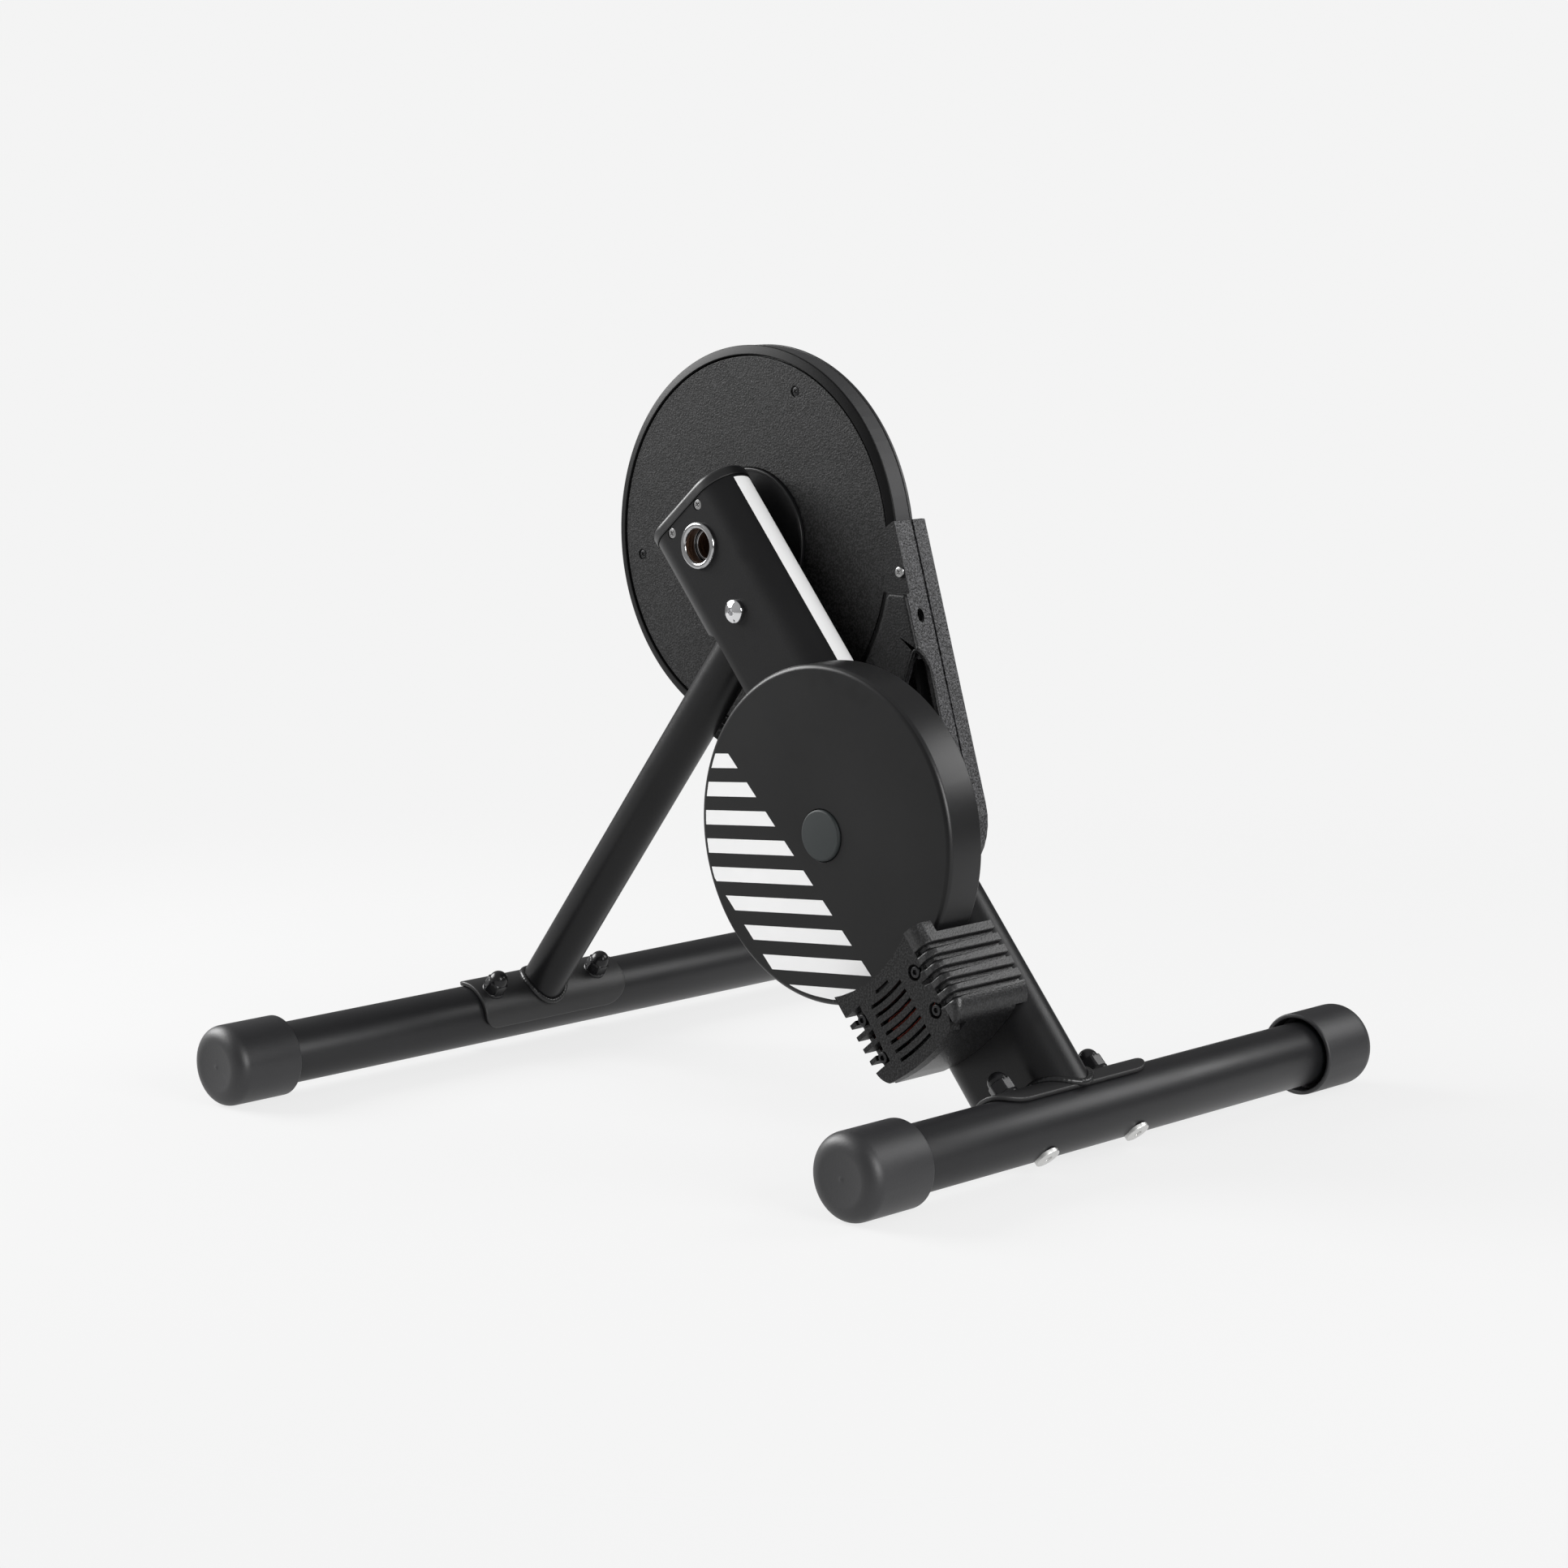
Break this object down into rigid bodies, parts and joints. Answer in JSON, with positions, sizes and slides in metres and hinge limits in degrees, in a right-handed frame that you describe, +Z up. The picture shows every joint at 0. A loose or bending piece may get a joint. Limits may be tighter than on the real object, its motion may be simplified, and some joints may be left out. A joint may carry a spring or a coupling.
{
  "type": "direct drive bike trainer",
  "caption": "Belt-driven bike trainer: leaning flat-oval arm and round strut on two crosswise base tubes, with axle, pulley, flywheel and electromagnetic brake.",
  "frame": {"origin": "on the floor, midway between the two base tubes and on the bike's centre plane", "axes": "+X the way the bike points, +Y the rider's left (the flywheel's side), +Z up"},
  "size_m": [0.519, 0.583, 0.4604],
  "materials": {
    "satinBlack": "satin black powder coat",
    "grainedBlack": "finely grained black plastic",
    "smoothPlastic": "smooth black plastic",
    "rubber": "matt black rubber",
    "belt": "dark grey belt",
    "castBlack": "black cast metal",
    "flywheelBlack": "satin black paint on steel",
    "capGrey": "grey plastic",
    "brightSteel": "bright turned steel",
    "darkSteel": "dark oxide steel",
    "blackScrew": "black oxide screw",
    "bearingSteel": "ground steel",
    "laminatedSteel": "stacked steel sheet",
    "copper": "lacquered copper wire",
    "board": "green board"
  },
  "bodies": {
    "frame": {"arm_end_cap": "smoothPlastic", "axle_bush": "brightSteel", "axle_end_spacer": "darkSteel", "bearing_sleeve": "satinBlack", "brake_body": "castBlack", "brake_cover": "grainedBlack", "brake_screw_front_lower": "blackScrew", "brake_screw_front_upper": "blackScrew", "brake_screw_rear_lower": "blackScrew", "brake_screw_rear_upper": "blackScrew", "cap_screw_front": "brightSteel", "cap_screw_rear": "brightSteel", "control_board": "board", "drive_belt": "belt", "front_base_tube": "satinBlack", "front_bolt_left": "darkSteel", "front_bolt_right": "darkSteel", "front_cap_left": "rubber", "front_cap_right": "rubber", "front_nut_left": "blackScrew", "front_nut_right": "blackScrew", "front_saddle": "satinBlack", "front_strut": "satinBlack", "guard_far_half": "grainedBlack", "guard_near_half": "grainedBlack", "guard_screw": "brightSteel", "hollow_axle": "brightSteel", "magnet_core": "laminatedSteel", "main_arm": "satinBlack", "power_inlet": "smoothPlastic", "rear_base_tube": "satinBlack", "rear_bolt_left": "brightSteel", "rear_bolt_right": "brightSteel", "rear_cap_left": "rubber", "rear_cap_right": "rubber", "rear_nut_left": "blackScrew", "rear_nut_right": "blackScrew", "rear_saddle": "satinBlack", "shaft_bearing_left": "bearingSteel", "shaft_bearing_right": "bearingSteel", "strut_bolt": "brightSteel", "strut_nut": "darkSteel", "winding_front": "copper", "winding_rear": "copper"},
    "pulley": {"drive_pulley": "castBlack", "pulley_cover": "grainedBlack", "cover_screw_1": "blackScrew", "cover_screw_2": "blackScrew", "cover_screw_3": "blackScrew", "hub_cover": "smoothPlastic", "wheel_bearing_left": "bearingSteel", "wheel_bearing_right": "bearingSteel", "ratchet_ring": "darkSteel"},
    "freehub": {"freehub_body": "darkSteel", "freehub_bearing": "bearingSteel"},
    "flywheel": {"flywheel": "flywheelBlack", "flywheel_cap": "capGrey", "flywheel_shaft": "bearingSteel", "small_pulley": "darkSteel"}
  },
  "joints": [
    {"name": "flywheel_spin", "type": "hinge", "parent": "frame", "child": "flywheel", "pos_m": [-0.08609, 0, 0.17804], "axis": [0, 1, 0], "continuous": true},
    {"name": "pulley_spin", "type": "hinge", "parent": "frame", "child": "pulley", "pos_m": [0.0465, 0, 0.3396], "axis": [0, 1, 0], "continuous": true},
    {"name": "freehub_spin", "type": "hinge", "parent": "frame", "child": "freehub", "pos_m": [0.0465, 0, 0.3396], "axis": [0, 1, 0], "continuous": true}
  ],
  "couplings": [
    {"joint": "pulley_spin", "follows": "flywheel_spin", "ratio": 0.1627}
  ]
}
